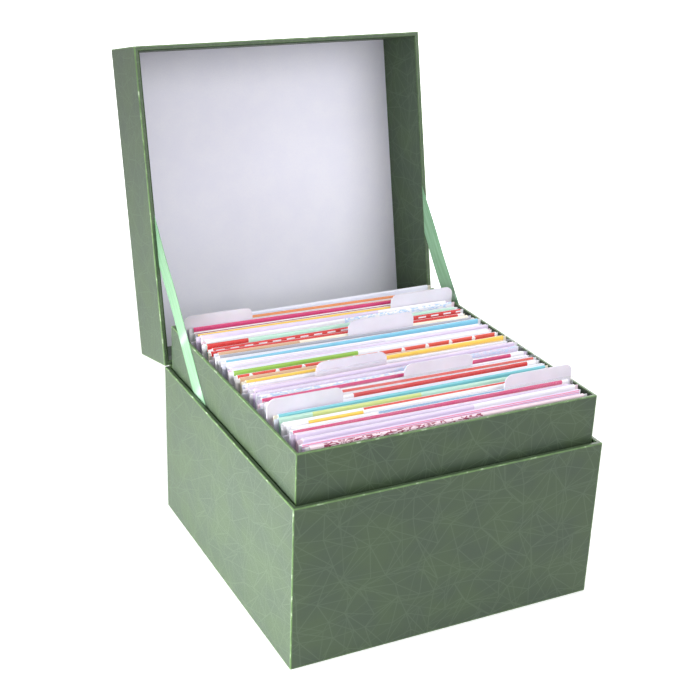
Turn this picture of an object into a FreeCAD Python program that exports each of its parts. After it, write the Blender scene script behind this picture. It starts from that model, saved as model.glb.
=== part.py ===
import FreeCAD, Part
import Sketcher
import os
import re

# Greeting card box: a paper-wrapped greyboard box with a shoulder collar inside it, a lid
# hinged at the top of the rear wall and held open by two ribbons, seven tabbed dividers and
# the card sets that stand between them. Millimetres, +Z up, +X to the right, front at -Y.
# The origin is the centre of the underside. The lid is drawn open, as far as its ribbons let
# it go.

doc = FreeCAD.newDocument("GreetingCardBox")

# Driving sizes: one name and one number each. The box is built outwards from what it holds.
SIZES = {
    # envelopes, cards and sleeves
    "envelope_wide": 184.0,
    "envelope_tall": 133.0,
    "envelope_thick": 1.2,
    "card_inset": 1.5,
    "card_leaf": 0.5,
    "card_ease": 0.2,
    "card_narrower": 2.5,
    "set_trim": 0.8,
    "set_air": 1.65,
    "sleeve_over": 1.0,
    "sleeve_lip": 5.0,
    "sleeve_film": 0.1,
    "sleeve_ease": 0.1,
    # dividers
    "divider_over": 6.0,
    "divider_under": 3.0,
    "divider_thick": 0.6,
    "divider_gap": 0.3,
    "tab_rise": 12.0,
    "tab_round": 5.0,
    # room round the contents
    "seat_gap": 0.2,
    "divider_ease": 0.9,
    "side_gap": 1.5,
    "card_show": 2.3,
    "head_room": 5.55,
    # greyboard and papers
    "board_thick": 2.3,
    "wrap_thick": 0.25,
    "turn_in": 18.0,
    "under_turn_in": 15.0,
    "underside_margin": 3.0,
    "liner_thick": 0.2,
    "panel_thick": 0.5,
    "stay_thick": 0.2,
    "stay_leg": 12.0,
    # shoulder collar
    "collar_board": 1.5,
    "collar_paper": 0.2,
    "collar_rise": 29.6,
    "collar_band": 16.0,
    "slot_ease": 0.25,
    "closing_clearance": 0.35,
    "parting_gap": 0.4,
    # hinge and stays
    "open_angle": 102.5,
    "hinge_leaf": 14.0,
    "hinge_paper": 0.2,
    "ribbon_wide": 16.0,
    "ribbon_thick": 0.25,
    "ribbon_ledge_back": 54.0,
    "ribbon_rim_back": 81.5,
    "ribbon_low_tail": 25.0,
    "ribbon_top_tail": 18.0,
    "ribbon_crease_room": 3.0,
    "ribbon_rim_flat": 20.0,
}

# How many card sets stand in each section, from the rear wall to the front wall.
SETS_IN_SECTION = (3, 3, 7, 12, 5, 3, 5, 5)

# How many trims each set is shorter than the tallest, rear section first.
SET_TRIMS = (
    (0, 1, 2), (0, 1, 1), (0, 1, 2, 0, 1, 2, 2), (1, 2, 0, 1, 2, 1, 0, 1, 2, 1, 2, 2),
    (0, 1, 2, 1, 2), (0, 1, 2), (0, 1, 2, 1, 2), (0, 1, 1, 2, 3),
)

# The sets that are kept in a clear sleeve, counted from the rear wall.
SLEEVED_SETS = (26, 29, 32, 40)

# Which of the four tab places each divider has, counted from the left, rear divider first.
TAB_PLACES = (1, 4, 3, 2, 3, 1, 4)
TABS_ACROSS = 4

# Two edges or faces nearer than this are the same.
TOUCH = 1e-4

COUNTS = {"set_count": sum(SETS_IN_SECTION), "divider_count": len(TAB_PLACES)}

# Sizes that follow from the driving ones.
FITS = {
    "card_wide": "envelope_wide - 2 * card_inset",
    "card_tall": "envelope_tall - card_inset",
    "sleeve_wide": "envelope_wide + 2 * sleeve_over",
    "sleeve_tall": "envelope_tall + sleeve_lip",
    "sleeve_side": "sleeve_film + sleeve_ease",
    "card_thick": "envelope_thick + 2 * card_ease + 2 * card_leaf",
    "set_pitch": "card_thick + set_air",
    "divider_wide": "envelope_wide + divider_over",
    "divider_tall": "envelope_tall - divider_under",
    "divider_bay": "divider_thick + 2 * divider_gap",
    "wall": "board_thick + 2 * wrap_thick",
    "underside_top": "wrap_thick",
    "board_low": "underside_top + wrap_thick",
    "floor_top": "board_low + board_thick",
    "liner_top": "floor_top + liner_thick",
    "seat": "liner_top + seat_gap",
    "tab_top": "seat + divider_tall + tab_rise",
    "lining_face": "wall + ribbon_thick + liner_thick",
    "collar_wall": "collar_board + 2 * collar_paper",
    "collar_side": "lining_face + hinge_paper + slot_ease",
    "collar_top": "seat + envelope_tall - card_show",
    "base_height": "collar_top - collar_rise",
    "hinge_height": "base_height + parting_gap / 2",
    "bay_side": "divider_wide / 2 + divider_ease",
    "bay_depth": "set_count * set_pitch + divider_count * divider_bay",
    "sway": "(bay_side - sleeve_wide / 2 - side_gap) / 2",
    "collar_span": "bay_depth + 2 * collar_wall + collar_side",
    "collar_swing": "sqrt(collar_span ^ 2 + (collar_top - hinge_height) ^ 2)",
    "box_depth": "collar_swing + closing_clearance + lining_face",
    "collar_front": "box_depth - collar_span",
    "half_width": "bay_side + collar_wall + collar_side",
    "half_depth": "box_depth / 2",
    "bay_rear": "half_depth - collar_side - collar_wall",
    "lid_rim": "parting_gap / 2",
    "lid_panel_low": "tab_top + head_room - hinge_height",
    "lid_board_low": "lid_panel_low + panel_thick",
    "lid_board_top": "lid_board_low + board_thick",
    "lid_top": "lid_board_top + wrap_thick",
    "lid_sin": "sin(open_angle * 1 deg)",
    "lid_cos": "cos(open_angle * 1 deg)",
    "ribbon_run_y": "ribbon_ledge_back - ribbon_rim_back * lid_cos",
    "ribbon_run_z": "ribbon_rim_back * lid_sin + hinge_height - base_height",
    "ribbon_run": "sqrt(ribbon_run_y ^ 2 + ribbon_run_z ^ 2)",
    "ribbon_lean": "atan2(ribbon_run_z; ribbon_run_y) / 1 deg",
    "ribbon_past_collar": "(collar_rise * ribbon_run + ribbon_wide / 2 * ribbon_run_y) / ribbon_run_z",
}

sizes = doc.addObject("Spreadsheet::Sheet", "Sizes")
for row, (alias, number) in enumerate((SIZES | COUNTS).items(), start=1):
    sizes.set(f"A{row}", alias)
    sizes.set(f"B{row}", str(number))
    sizes.setAlias(f"B{row}", alias)
doc.recompute()


def bound(formula, in_fits=False):
    """The formula with each size's name led back to the sheet that holds it."""

    def home(match):
        word = match.group(0)
        if word in SIZES or word in COUNTS:
            return f"Sizes.{word}"
        return f"Fits.{word}" if word in FITS and not in_fits else word

    return re.sub(r"[a-z_]+", home, formula)


fits = doc.addObject("Spreadsheet::Sheet", "Fits")
for row, (alias, formula) in enumerate(FITS.items(), start=1):
    fits.set(f"A{row}", alias)
    fits.set(f"B{row}", "=" + bound(formula, in_fits=True))
    fits.setAlias(f"B{row}", alias)
    doc.recompute()


def value(formula):
    """The present number of a formula, to draw a sketch near its constrained place."""
    number = fits.evalExpression(bound(formula, in_fits=True))
    return float(getattr(number, "Value", number))


def outline(sketch, points):
    """A closed line through points whose coordinates are held to formulas."""
    first = sketch.GeometryCount
    spots = [FreeCAD.Vector(value(across), value(up), 0) for across, up in points]
    for n, spot in enumerate(spots):
        sketch.addGeometry(Part.LineSegment(spot, spots[(n + 1) % len(spots)]), False)
    for n in range(len(spots)):
        after = first + (n + 1) % len(spots)
        sketch.addConstraint(Sketcher.Constraint("Coincident", first + n, 2, after, 1))
    for n, (across, up) in enumerate(points):
        for kind, formula, now in (("DistanceX", across, spots[n].x), ("DistanceY", up, spots[n].y)):
            held = sketch.addConstraint(Sketcher.Constraint(kind, -1, 1, first + n, 1, now))
            sketch.setExpression(f"Constraints[{held}]", bound(formula))


def rectangle(low_x, high_x, low_y, high_y):
    """The corners of a rectangle, in order round it."""
    return [(low_x, low_y), (high_x, low_y), (high_x, high_y), (low_x, high_y)]


def piece(label):
    """A new body for one physical piece."""
    body = doc.addObject("PartDesign::Body", label)
    body.Label = label
    return body


def plane_of(body, role):
    """One of the body's own origin planes."""
    return next(plane for plane in body.Origin.OriginFeatures if plane.Role == role)


def pad(body, name, role, outlines, start, length, both_ways=False):
    """Outlines drawn on a plane of the body, raised by start, and padded by length."""
    sketch = body.newObject("Sketcher::SketchObject", name + "_sketch")
    sketch.AttachmentSupport = [(plane_of(body, role), "")]
    sketch.MapMode = "FlatFace"
    sketch.setExpression("AttachmentOffset.Base.z", bound(start))
    for points in outlines:
        outline(sketch, points)
    grown = body.newObject("PartDesign::Pad", name)
    grown.Profile = sketch
    grown.setExpression("Length", bound(length))
    grown.Midplane = both_ways
    body.Tip = grown
    return grown


def slab(label, low_x, high_x, low_y, high_y, low_z, high_z):
    """A flat board or sheet between six planes."""
    body = piece(label)
    shape = rectangle(low_x, high_x, low_y, high_y)
    pad(body, label + "_pad", "XY_Plane", [shape], low_z, f"({high_z}) - ({low_z})")
    return body


def hang_on_hinge(thing):
    """The lid's own frame: origin on the hinge line, turned back by the open angle."""
    thing.setExpression("Placement.Base.y", bound("half_depth"))
    thing.setExpression("Placement.Base.z", bound("hinge_height"))
    thing.Placement.Rotation = FreeCAD.Rotation(FreeCAD.Vector(-1, 0, 0), 1)
    thing.setExpression("Placement.Rotation.Angle", bound("open_angle * 1 deg"))
    return thing


def inset_ring(outer, inner, low_y="-half_depth", high_y="half_depth"):
    """Two rectangles, set in from the outside of the box by outer and by inner."""
    return [
        rectangle(f"-half_width + {by}", f"half_width - ({by})", f"{low_y} + {by}", f"{high_y} - ({by})")
        for by in (outer, inner)
    ]


def corner_angles(inset, low_y, high_y, outward):
    """Four L-shaped outlines in the corners of a rectangle, on its inner or outer side."""
    at, near, far = "0", "stay_thick", "stay_leg"
    legs = [(at, at), (far, at), (far, near), (near, near), (near, far), (at, far)]
    if outward:
        near = "-stay_thick"
        legs = [(near, near), (far, near), (far, at), (at, at), (at, far), (near, far)]
    return [
        [(f"{x_edge} + {x_in} * {a}", f"{y_edge} + {y_in} * {b}") for a, b in legs]
        for x_edge, x_in in ((f"-half_width + {inset}", 1), (f"half_width - ({inset})", -1))
        for y_edge, y_in in ((low_y, 1), (high_y, -1))
    ]


def corner_stays(label, inset, low_y, high_y, low_z, high_z, outward=False):
    """Four strips of stay paper folded round the corners where the wall boards meet."""
    sketch = doc.addObject("Sketcher::SketchObject", label + "_sketch")
    for angle in corner_angles(inset, low_y, high_y, outward):
        outline(sketch, angle)
    sketch.setExpression("Placement.Base.z", bound(low_z))
    strips = doc.addObject("Part::Extrusion", label)
    strips.Label = label
    strips.Base = sketch
    strips.Dir = FreeCAD.Vector(0, 0, 1)
    strips.DirMode = "Custom"
    strips.Solid = True
    strips.setExpression("LengthFwd", bound(f"({high_z}) - ({low_z})"))
    return strips


def four_walls(prefix, inset, thick, low_y, high_y, low_z, high_z):
    """Front, rear, left and right wall boards, butted at the corners."""
    left, right = f"-half_width + {inset}", f"half_width - ({inset})"
    inner_left, inner_right = f"{left} + {thick}", f"{right} - {thick}"
    inner_low, inner_high = f"{low_y} + {thick}", f"{high_y} - {thick}"
    return [
        slab(prefix + "_front_board", left, right, low_y, inner_low, low_z, high_z),
        slab(prefix + "_rear_board", left, right, inner_high, high_y, low_z, high_z),
        slab(prefix + "_left_board", left, inner_left, inner_low, inner_high, low_z, high_z),
        slab(prefix + "_right_board", inner_right, right, inner_low, inner_high, low_z, high_z),
    ]


def base_boards():
    """Greyboard floor and walls of the base."""
    low_y, high_y = "-half_depth + wrap_thick", "half_depth - wrap_thick"
    top = "base_height - wrap_thick"
    walls = four_walls("base", "wrap_thick", "board_thick", low_y, high_y, "board_low", top)
    side = "half_width - wrap_thick - board_thick"
    end = "half_depth - wrap_thick - board_thick"
    floor = slab("base_floor_board", f"-({side})", side, f"-({end})", end, "board_low", "floor_top")
    inset = "wrap_thick + board_thick"
    stays = corner_stays(
        "base_corner_stays", inset, f"-({end})", end, "liner_top", "base_height - turn_in - stay_thick"
    )
    return walls + [floor, stays]


def base_papers():
    """Printed wrap turned in over the rim and under the floor, underside sheet, floor liner."""
    wrap = piece("base_wrap")
    tall = "base_height - underside_top"
    pad(wrap, "base_sides", "XY_Plane", inset_ring("0", "wrap_thick"), "underside_top", tall)
    pad(wrap, "base_foot", "XY_Plane", inset_ring("0", "under_turn_in"), "underside_top", "wrap_thick")
    pad(wrap, "base_rim", "XY_Plane", inset_ring("0", "wall"), "base_height - wrap_thick", "wrap_thick")
    inner = inset_ring("wall - wrap_thick", "wall")
    pad(wrap, "base_turn_in", "XY_Plane", inner, "base_height - turn_in", "turn_in")
    side, end = "half_width - underside_margin", "half_depth - underside_margin"
    underside = slab("base_underside_sheet", f"-({side})", side, f"-({end})", end, "0", "underside_top")
    side, end = "half_width - wall + wrap_thick", "half_depth - wall + wrap_thick"
    liner = slab("base_floor_liner", f"-({side})", side, f"-({end})", end, "floor_top", "liner_top")
    return [wrap, underside, liner]


def collar():
    """Thinner greyboard collar standing on the floor inside the base, with its own wrap."""
    inset = "collar_side + collar_paper"
    low_y = "-half_depth + collar_front + collar_paper"
    high_y = "half_depth - collar_side - collar_paper"
    top = "collar_top - collar_paper"
    boards = four_walls("collar", inset, "collar_board", low_y, high_y, "liner_top", top)
    stay_top = "base_height - collar_band - stay_thick"
    stays = corner_stays("collar_corner_stays", inset, low_y, high_y, "liner_top", stay_top, True)

    def ring(outer, inner):
        return [
            rectangle(
                f"-half_width + collar_side + {by}",
                f"half_width - collar_side - ({by})",
                f"-half_depth + collar_front + {by}",
                f"half_depth - collar_side - ({by})",
            )
            for by in (outer, inner)
        ]

    wrap = piece("collar_wrap")
    band = "collar_rise + collar_band"
    pad(wrap, "collar_outside", "XY_Plane", ring("0", "collar_paper"), f"collar_top - ({band})", band)
    pad(wrap, "collar_rim", "XY_Plane", ring("0", "collar_wall"), "collar_top - collar_paper", "collar_paper")
    inside = ring("collar_paper + collar_board", "collar_wall")
    pad(wrap, "collar_inside", "XY_Plane", inside, "liner_top", "collar_top - liner_top")
    return boards + [stays, wrap]


def lid_boards():
    """Greyboard top and walls of the lid, in the lid's own frame."""
    low_y, high_y = "-box_depth + wrap_thick", "-wrap_thick"
    low = "lid_rim + wrap_thick"
    walls = four_walls("lid", "wrap_thick", "board_thick", low_y, high_y, low, "lid_board_low")
    side = "half_width - wrap_thick"
    top = slab("lid_top_board", f"-({side})", side, low_y, high_y, "lid_board_low", "lid_board_top")
    inset = "wrap_thick + board_thick"
    stays = corner_stays(
        "lid_corner_stays", inset, f"{low_y} + board_thick", f"{high_y} - board_thick",
        "lid_rim + turn_in + stay_thick", "lid_board_low",
    )
    return [hang_on_hinge(thing) for thing in walls + [top, stays]]


def lid_papers():
    """Printed wrap of the lid, the lining of its walls and the pale panel in its top."""
    reach = ("-box_depth", "0")
    wrap = piece("lid_wrap")
    pad(wrap, "lid_sides", "XY_Plane", inset_ring("0", "wrap_thick", *reach), "lid_rim", "lid_top - lid_rim")
    cover = [inset_ring("0", "wrap_thick", *reach)[0]]
    pad(wrap, "lid_cover", "XY_Plane", cover, "lid_board_top", "wrap_thick")
    pad(wrap, "lid_rim_fold", "XY_Plane", inset_ring("0", "wall", *reach), "lid_rim", "wrap_thick")
    inner = inset_ring("wall - wrap_thick", "wall", *reach)
    pad(wrap, "lid_turn_in", "XY_Plane", inner, "lid_rim", "turn_in")
    lining = piece("lid_wall_lining")
    band = inset_ring("wall + ribbon_thick", "lining_face", *reach)
    low = "lid_rim + wrap_thick"
    pad(lining, "lining_band", "XY_Plane", band, low, f"lid_panel_low - ({low})")
    side = "half_width - wall"
    panel = slab(
        "lid_top_panel", f"-({side})", side, "-box_depth + wall", "-wall", "lid_panel_low", "lid_board_low"
    )
    return [hang_on_hinge(thing) for thing in (wrap, lining, panel)]


def on_lid(back, up):
    """A point of the open lid's side view: back from the hinge along the rim, up from it."""
    return (
        f"half_depth - ({back}) * lid_cos + ({up}) * lid_sin",
        f"hinge_height + ({back}) * lid_sin + ({up}) * lid_cos",
    )


def hinge_strips():
    """Paper strips that join base and lid: one outside, one inside over both rims."""
    span = "2 * (half_width - lining_face)"
    low = "hinge_height - hinge_leaf"
    outer = piece("hinge_strip_outer")
    fold = "hinge_paper * (1 - lid_cos) / lid_sin"
    outer_side = [
        ("half_depth", low),
        ("half_depth", "base_height"),
        on_lid("0", "lid_rim"),
        on_lid("0", "hinge_leaf"),
        on_lid("-hinge_paper", "hinge_leaf"),
        on_lid("-hinge_paper", fold),
        ("half_depth + hinge_paper", low),
    ]
    pad(outer, "outer_fold", "YZ_Plane", [outer_side], "0", span, True)
    inner = piece("hinge_strip_inner")
    inner_side = [
        ("half_depth - wall - hinge_paper", low),
        ("half_depth - wall - hinge_paper", "hinge_height"),
        ("half_depth", "hinge_height"),
        on_lid("lining_face + hinge_paper", "0"),
        on_lid("lining_face + hinge_paper", "hinge_leaf"),
        on_lid("lining_face", "hinge_leaf"),
        on_lid("lining_face", "lid_rim"),
        on_lid("0", "lid_rim"),
        ("half_depth", "base_height"),
        ("half_depth - wall", "base_height"),
        ("half_depth - wall", low),
    ]
    pad(inner, "inner_fold", "YZ_Plane", [inner_side], "0", span, True)
    return [outer, inner]


def ribbon_stay(label, side):
    """A satin ribbon from the slot beside the collar to the lining of the lid's side wall."""
    body = piece(label)
    low_out, top_out = f"{side} * (half_width - collar_side + ribbon_thick)", f"{side} * (half_width - wall)"
    low_in, top_in = f"{side} * (half_width - collar_side)", f"{side} * (half_width - wall - ribbon_thick)"
    low_end, high_end = "-ribbon_low_tail", "ribbon_run + ribbon_top_tail"
    bend_low, bend_high = "ribbon_past_collar + ribbon_crease_room", "ribbon_run - ribbon_rim_flat"
    strip = [
        (low_out, low_end),
        (low_out, bend_low),
        (top_out, bend_high),
        (top_out, high_end),
        (top_in, high_end),
        (top_in, bend_high),
        (low_in, bend_low),
        (low_in, low_end),
    ]
    pad(body, label + "_weave", "XY_Plane", [strip], "0", "ribbon_wide", True)
    body.setExpression("Placement.Base.y", bound("half_depth - ribbon_ledge_back"))
    body.setExpression("Placement.Base.z", bound("base_height"))
    body.Placement.Rotation = FreeCAD.Rotation(FreeCAD.Vector(1, 0, 0), 1)
    body.setExpression("Placement.Rotation.Angle", bound("ribbon_lean * 1 deg"))
    return body


def divider(number, place, sets_behind):
    """A stiff card divider with one rounded tab standing above the rim."""
    label = f"divider_{number}"
    body = piece(label)
    half = "divider_wide / 2"
    tab_left = f"-{half} + {place - 1} * divider_wide / {TABS_ACROSS}"
    tab_right = f"-{half} + {place} * divider_wide / {TABS_ACROSS}"
    sheet = rectangle(f"-{half}", half, "0", "divider_tall")
    tab = rectangle(tab_left, tab_right, "divider_tall / 2", "divider_tall + tab_rise")
    pad(body, label + "_sheet", "XZ_Plane", [sheet], "0", "divider_thick")
    flag = pad(body, label + "_tab", "XZ_Plane", [tab], "0", "divider_thick")
    doc.recompute()
    ends_at_top = flag.Shape.BoundBox.ZMax
    corners = [
        f"Edge{n}"
        for n, edge in enumerate(flag.Shape.Edges, start=1)
        if edge.BoundBox.ZLength + edge.BoundBox.XLength < TOUCH and edge.BoundBox.ZMax > ends_at_top - TOUCH
    ]
    rounded = body.newObject("PartDesign::Fillet", label + "_round")
    rounded.Base = (flag, corners)
    rounded.setExpression("Radius", bound("tab_round"))
    body.Tip = rounded
    behind = f"bay_rear - {sets_behind} * set_pitch - {number - 1} * divider_bay"
    body.setExpression("Placement.Base.y", bound(f"{behind} - divider_gap"))
    body.setExpression("Placement.Base.z", bound("seat"))
    return body


def block(name, wide, thick, tall, middle, front, low):
    """An upright block: its middle across the box, its front face and its lower edge."""
    box = doc.addObject("Part::Box", name)
    box.setExpression("Length", bound(wide))
    box.setExpression("Width", bound(thick))
    box.setExpression("Height", bound(tall))
    box.setExpression("Placement.Base.x", bound(f"{middle} - ({wide}) / 2"))
    box.setExpression("Placement.Base.y", bound(front))
    box.setExpression("Placement.Base.z", bound(low))
    return box


def hollowed(name, outer, inner):
    """One block less another."""
    cut = doc.addObject("Part::Cut", name)
    cut.Base = outer
    cut.Tool = inner
    return cut


def folded_card(name, wide, middle, front, shorter):
    """A card folded along its upper edge, astride its envelope, on whose top it rests."""
    tall = f"card_tall - {shorter}"
    low = "seat + envelope_tall + card_leaf - card_tall"
    sheet = block(name + "_sheet", wide, "card_thick", tall, middle, front, low)
    between = "card_thick - 2 * card_leaf"
    inside = f"{front} + card_leaf"
    gap = block(name + "_gap", wide, between, f"{tall} - card_leaf", middle, inside, low)
    return hollowed(name, sheet, gap)


def clear_sleeve(name, middle, front):
    """A pocket of clear film round one card set, open along its top."""
    thick = "card_thick + 2 * sleeve_side"
    wide_in = "sleeve_wide - 2 * sleeve_film"
    near = f"{front} - sleeve_side"
    film = block(name + "_film", "sleeve_wide", thick, "sleeve_tall", middle, near, "seat - sleeve_film")
    thick_in = "card_thick + 2 * sleeve_ease"
    inside = f"{near} + sleeve_film"
    pocket = block(name + "_pocket", wide_in, thick_in, "sleeve_tall", middle, inside, "seat")
    return hollowed(name, film, pocket)


def card_section(section, count, sets_behind):
    """The card sets of one section: each an envelope with its card folded over it."""
    cards, envelopes, sleeves = [], [], []
    for n in range(sets_behind + 1, sets_behind + count + 1):
        middle = f"{n * 3 % 5 - 2} * sway"
        front = f"bay_rear - {n} * set_pitch + set_air / 2 - {section - 1} * divider_bay"
        shorter = f"{SET_TRIMS[section - 1][n - sets_behind - 1]} * set_trim"
        wide = f"card_wide - {n * n % 3} * card_narrower"
        cards.append(folded_card(f"card_{n}", wide, middle, front, shorter))
        inside = f"{front} + card_leaf + card_ease"
        size = ("envelope_wide", "envelope_thick", f"envelope_tall - {shorter}")
        envelopes.append(block(f"envelope_{n}", *size, middle, inside, "seat"))
        if n in SLEEVED_SETS:
            sleeves.append(clear_sleeve(f"sleeve_{n}", middle, front))
    groups = []
    for kind, members in (("greeting_cards", cards), ("envelopes", envelopes), ("clear_sleeves", sleeves)):
        if members:
            group = doc.addObject("Part::Compound", f"{kind}_{section}")
            group.Label = f"{kind}_{section}"
            group.Links = members
            groups.append(group)
    return groups


def contents():
    """Card sections and dividers in turn, from the rear wall to the front wall."""
    made, behind = [], 0
    for number, count in enumerate(SETS_IN_SECTION, start=1):
        made += card_section(number, count, behind)
        behind += count
        if number <= len(TAB_PLACES):
            made.append(divider(number, TAB_PLACES[number - 1], behind))
    return made


subparts = (
    base_boards()
    + base_papers()
    + collar()
    + lid_boards()
    + lid_papers()
    + hinge_strips()
    + [ribbon_stay("ribbon_stay_left", -1), ribbon_stay("ribbon_stay_right", 1)]
    + contents()
)
doc.recompute()

failed = [thing.Name for thing in doc.Objects if "Invalid" in thing.State or "Error" in thing.State]
failed += [part.Label for part in subparts if part.Shape.isNull() or not part.Shape.isValid()]
if failed:
    raise RuntimeError("failed: " + ", ".join(failed))

os.makedirs("parts", exist_ok=True)
for part in subparts:
    part.Shape.exportStep(os.path.join("parts", part.Label + ".step"))
print(len(subparts), "sub-parts written")
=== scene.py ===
import math
import random
import bpy
import bmesh
from mathutils import Matrix, Vector
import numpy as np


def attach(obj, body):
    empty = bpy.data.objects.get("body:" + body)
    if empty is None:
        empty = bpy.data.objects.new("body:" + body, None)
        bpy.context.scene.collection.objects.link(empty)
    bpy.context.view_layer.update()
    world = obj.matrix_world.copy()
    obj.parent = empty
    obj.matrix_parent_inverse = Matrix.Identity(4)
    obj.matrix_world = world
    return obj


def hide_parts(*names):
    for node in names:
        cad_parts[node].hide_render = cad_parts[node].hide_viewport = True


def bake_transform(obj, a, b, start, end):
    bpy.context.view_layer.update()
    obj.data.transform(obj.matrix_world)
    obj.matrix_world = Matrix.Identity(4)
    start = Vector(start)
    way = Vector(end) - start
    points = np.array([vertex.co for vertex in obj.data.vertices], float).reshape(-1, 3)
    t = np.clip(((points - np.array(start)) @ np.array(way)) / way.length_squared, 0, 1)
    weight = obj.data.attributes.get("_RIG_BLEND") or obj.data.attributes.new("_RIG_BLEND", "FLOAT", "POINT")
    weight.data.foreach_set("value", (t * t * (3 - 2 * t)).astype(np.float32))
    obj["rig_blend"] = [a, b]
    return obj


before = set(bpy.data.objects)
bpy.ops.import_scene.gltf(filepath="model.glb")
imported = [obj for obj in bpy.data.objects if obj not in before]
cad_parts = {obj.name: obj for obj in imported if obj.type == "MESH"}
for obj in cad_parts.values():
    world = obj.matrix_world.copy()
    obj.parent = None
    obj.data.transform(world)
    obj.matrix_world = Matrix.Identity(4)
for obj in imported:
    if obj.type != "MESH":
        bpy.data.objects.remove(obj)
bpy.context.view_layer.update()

# The camera stands before the left front corner, higher than the open lid, and looks down.
camera_data = bpy.data.cameras.new("camera")
camera_data.sensor_width = 36.0
camera_data.lens = 69.08
camera_data.shift_x = -0.015
camera_data.shift_y = 0.0354
camera_data.clip_start = 0.05
camera_data.clip_end = 20.0
camera = bpy.data.objects.new("camera", camera_data)
camera.matrix_world = Matrix.Translation((-0.36491, -0.66951, 0.46366)) @ (
    Matrix.Rotation(math.radians(-26.958), 4, "Z")
    @ Matrix.Rotation(math.radians(-2.1535), 4, "Y")
    @ Matrix.Rotation(math.radians(65.920), 4, "X")
)
bpy.context.scene.collection.objects.link(camera)
bpy.context.scene.camera = camera
bpy.context.scene.view_settings.view_transform = "Standard"


# Base boards. Five pieces of 2.3 mm greyboard, cut from a sheet and butted into an open box.
# Greyboard is pressed from waste paper, so it is a warm grey, full of darker and paler fibres.
def put(tree, kind, inputs=None, **settings):
    """A node in a tree. Its inputs are numbers, colours, or other nodes' outputs."""
    made = tree.nodes.new("ShaderNode" + kind)
    for name, setting in settings.items():
        setattr(made, name, setting)
    for key, given in (inputs or {}).items():
        if isinstance(given, bpy.types.NodeSocket):
            tree.links.new(given, made.inputs[key])
        else:
            made.inputs[key].default_value = given
    return made


def maths(tree, operation, *terms, **settings):
    """One arithmetic step in a tree."""
    return put(tree, "Math", dict(enumerate(terms)), operation=operation, **settings).outputs[0]


def apart(tree, value, other):
    """How far two values are apart."""
    return maths(tree, "ABSOLUTE", maths(tree, "SUBTRACT", value, other))


def faded(tree, value, low, high, at_low=0.0, at_high=1.0):
    """A value led smoothly from at_low to at_high while it passes from low to high."""
    ends = {"Value": value, "From Min": low, "From Max": high, "To Min": at_low, "To Max": at_high}
    return put(tree, "MapRange", ends, interpolation_type="SMOOTHSTEP").outputs[0]


def mixed(tree, share, under, over):
    """Two colours mixed by a share."""
    return put(tree, "Mix", {0: share, 6: under, 7: over}, data_type="RGBA").outputs[2]


def tint(red, green, blue):
    """A colour as a screen shows it, from 0 to 255, as the light it stands for."""
    return tuple(
        c / 12.92 if c <= 0.04045 else ((c + 0.055) / 1.055) ** 2.4
        for c in (red / 255, green / 255, blue / 255)
    ) + (1.0,)


def effect_group(name, inputs, outputs):
    """A shader node group with named inputs and outputs, and its entry and result nodes."""
    group = bpy.data.node_groups.new(name, "ShaderNodeTree")
    for label, kind, usual in inputs:
        socket = group.interface.new_socket(label, in_out="INPUT", socket_type="NodeSocket" + kind)
        if usual is not None:
            socket.default_value = usual
    for label, kind in outputs:
        group.interface.new_socket(label, in_out="OUTPUT", socket_type="NodeSocket" + kind)
    return group, group.nodes.new("NodeGroupInput"), group.nodes.new("NodeGroupOutput")


def effect(tree, group, inputs):
    """A node group placed in a material with its own values."""
    return put(tree, "Group", inputs, node_tree=group).outputs


def finish(name, **constants):
    """A new material, its tree and its shader, with the plain values set on the shader."""
    material = bpy.data.materials.new(name)
    material.use_nodes = True
    shader = material.node_tree.nodes["Principled BSDF"]
    for label, number in constants.items():
        shader.inputs[label.replace("_", " ")].default_value = number
    return material, material.node_tree, shader


def relief(tree, shader, height, depth, strength=1.0):
    """A bump from a height that runs from 0 to 1, depth metres deep."""
    bump = put(tree, "Bump", {"Height": height, "Distance": depth, "Strength": strength})
    tree.links.new(bump.outputs[0], shader.inputs["Normal"])


def read(tree, name, kind="Fac"):
    """A value that each point of a piece's mesh carries under a name."""
    return put(tree, "Attribute", attribute_name=name).outputs[kind]


def noise(tree, vector, scale, detail, distortion=0.0):
    """A soft random value that changes from place to place."""
    inputs = {"Vector": vector, "Scale": scale, "Detail": detail, "Distortion": distortion}
    return put(tree, "TexNoise", inputs).outputs[0]


paper_fibre, entry, result = effect_group(
    "paper_fibre",
    [("Vector", "Vector", None), ("Fibre", "Float", 0.0012)],
    [("Fleck", "Float"), ("Cloud", "Float"), ("Height", "Float")],
)
per_fibre = maths(paper_fibre, "DIVIDE", 1.0, entry.outputs["Fibre"])
long_way = put(paper_fibre, "Mapping", {"Vector": entry.outputs["Vector"], "Scale": (1.0, 0.28, 1.0)})
fibres = noise(paper_fibre, long_way.outputs[0], per_fibre, 3.0, distortion=0.6)
clouds = noise(paper_fibre, entry.outputs["Vector"], maths(paper_fibre, "MULTIPLY", per_fibre, 0.06), 3.0)
paper_fibre.links.new(faded(paper_fibre, fibres, 0.42, 0.68), result.inputs["Fleck"])
paper_fibre.links.new(faded(paper_fibre, clouds, 0.3, 0.7), result.inputs["Cloud"])
paper_fibre.links.new(fibres, result.inputs["Height"])


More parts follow.
